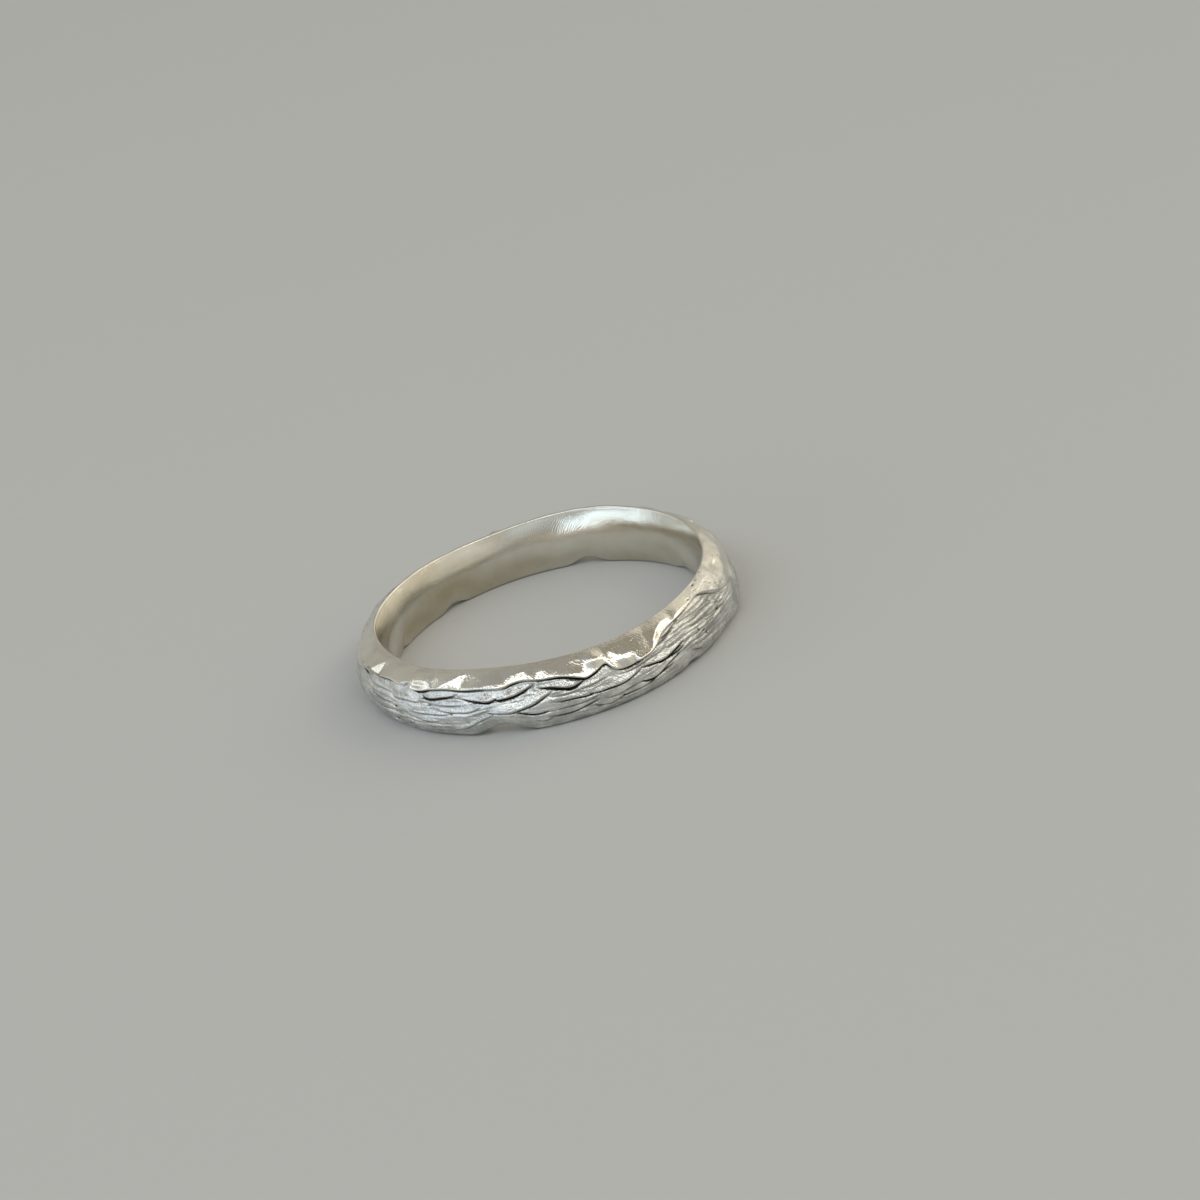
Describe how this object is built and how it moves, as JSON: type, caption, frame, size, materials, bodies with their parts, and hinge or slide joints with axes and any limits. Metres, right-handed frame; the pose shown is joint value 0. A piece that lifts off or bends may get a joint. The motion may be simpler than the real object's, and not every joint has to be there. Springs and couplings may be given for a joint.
{
  "type": "stackable ring",
  "caption": "Cast silver stacking ring: a plain wall that bulges to the finger, a smooth hammered shoulder and a bark-like relief of long overlapping strands round the outside.",
  "frame": {"origin": "on the axis of the finger hole, in the plane of the lower edge that the ring lies on", "axes": "+Z along the finger hole's axis, upwards as the ring lies; -Y towards the side with the clearest relief, which the picture shows"},
  "size_m": [0.0204, 0.0198, 0.0034],
  "materials": {
    "silver": "cast sterling silver, polished on the shoulder and inside, satin with darkened grooves in the bark relief"
  },
  "bodies": {
    "root": {"ring_band": "silver"}
  },
  "joints": []
}
